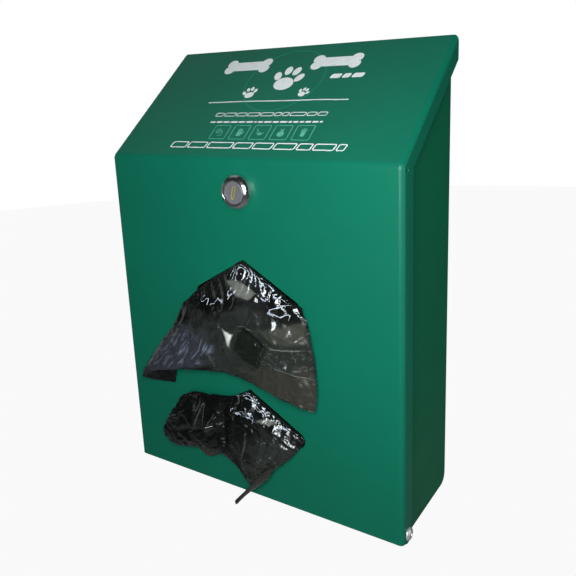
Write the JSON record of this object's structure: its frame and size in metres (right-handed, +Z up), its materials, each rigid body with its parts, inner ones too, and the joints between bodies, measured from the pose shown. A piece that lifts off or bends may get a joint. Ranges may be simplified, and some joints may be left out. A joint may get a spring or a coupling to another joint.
{
  "type": "dog waste bag dispenser",
  "caption": "Wall-mounted dog waste bag dispenser: hinged sheet metal cover with a sloping top, cam lock and inverted-V slots over a shallow housing that holds rolls of black bags.",
  "frame": {"origin": "centre of the housing's back face, the face that goes on the wall or post, midway up it", "axes": "+Z up, +Y into the wall (the front faces -Y), +X to the right as seen from the front"},
  "size_m": [0.2136, 0.0905, 0.2921],
  "materials": {
    "cover_paint": "green powder coat, semi-gloss with a fine texture",
    "housing_paint": "green powder coat, semi-gloss with a fine texture",
    "lock_chrome": "polished chrome plate",
    "plug_metal": "satin die-cast zinc",
    "rivet_steel": "bright rolled steel",
    "zinc_plate": "zinc plated",
    "rod_steel": "bright drawn bar",
    "nylon": "natural nylon",
    "cardboard": "spiral-wound grey-brown paperboard",
    "bag_film": "thin crumpled black film"
  },
  "bodies": {
    "housing": {"back_housing": "housing_paint", "strike_bar": "zinc_plate", "hinge_rivet_left": "rivet_steel", "hinge_rivet_right": "rivet_steel", "hinge_washer_left": "nylon", "hinge_washer_right": "nylon", "backup_washer_left": "zinc_plate", "backup_washer_right": "zinc_plate", "upper_roll_bracket": "zinc_plate", "lower_roll_bracket": "zinc_plate", "upper_stud_left": "zinc_plate", "upper_stud_right": "zinc_plate", "lower_stud_left": "zinc_plate", "lower_stud_right": "zinc_plate", "upper_stud_nut_left": "zinc_plate", "upper_stud_nut_right": "zinc_plate", "lower_stud_nut_left": "zinc_plate", "lower_stud_nut_right": "zinc_plate"},
    "cover": {"front_cover": "cover_paint", "lock_body": "lock_chrome", "lock_nut": "zinc_plate", "upper_hanging_bag": "bag_film", "lower_hanging_bag": "bag_film"},
    "lock": {"lock_plug": "plug_metal", "lock_cam": "zinc_plate", "cam_screw": "zinc_plate"},
    "upper_spindle": {"upper_spindle_rod": "rod_steel", "upper_spindle_cap_left": "nylon", "upper_spindle_cap_right": "nylon"},
    "upper_roll": {"upper_roll_core": "cardboard", "upper_bag_roll": "bag_film"},
    "lower_spindle": {"lower_spindle_rod": "rod_steel", "lower_spindle_cap_left": "nylon", "lower_spindle_cap_right": "nylon"},
    "lower_roll": {"lower_roll_core": "cardboard", "lower_bag_roll": "bag_film"}
  },
  "joints": [
    {"name": "cover_hinge", "type": "hinge", "parent": "housing", "child": "cover", "pos_m": [0, -0.0738, -0.13392], "axis": [1, 0, 0], "range_deg": [0, 100]},
    {"name": "lock_turn", "type": "hinge", "parent": "cover", "child": "lock", "pos_m": [0, -0.081, 0.06468], "axis": [0, 1, 0], "range_deg": [0, 90]},
    {"name": "upper_spindle_lift", "type": "slide", "parent": "housing", "child": "upper_spindle", "axis": [0, 0, 1], "range_m": [0, 0.008]},
    {"name": "upper_roll_spin", "type": "hinge", "parent": "upper_spindle", "child": "upper_roll", "pos_m": [0, -0.04, 0.01768], "axis": [1, 0, 0], "continuous": true},
    {"name": "lower_spindle_lift", "type": "slide", "parent": "housing", "child": "lower_spindle", "axis": [0, 0, 1], "range_m": [0, 0.008]},
    {"name": "lower_roll_spin", "type": "hinge", "parent": "lower_spindle", "child": "lower_roll", "pos_m": [0, -0.04, -0.06802], "axis": [1, 0, 0], "continuous": true}
  ]
}
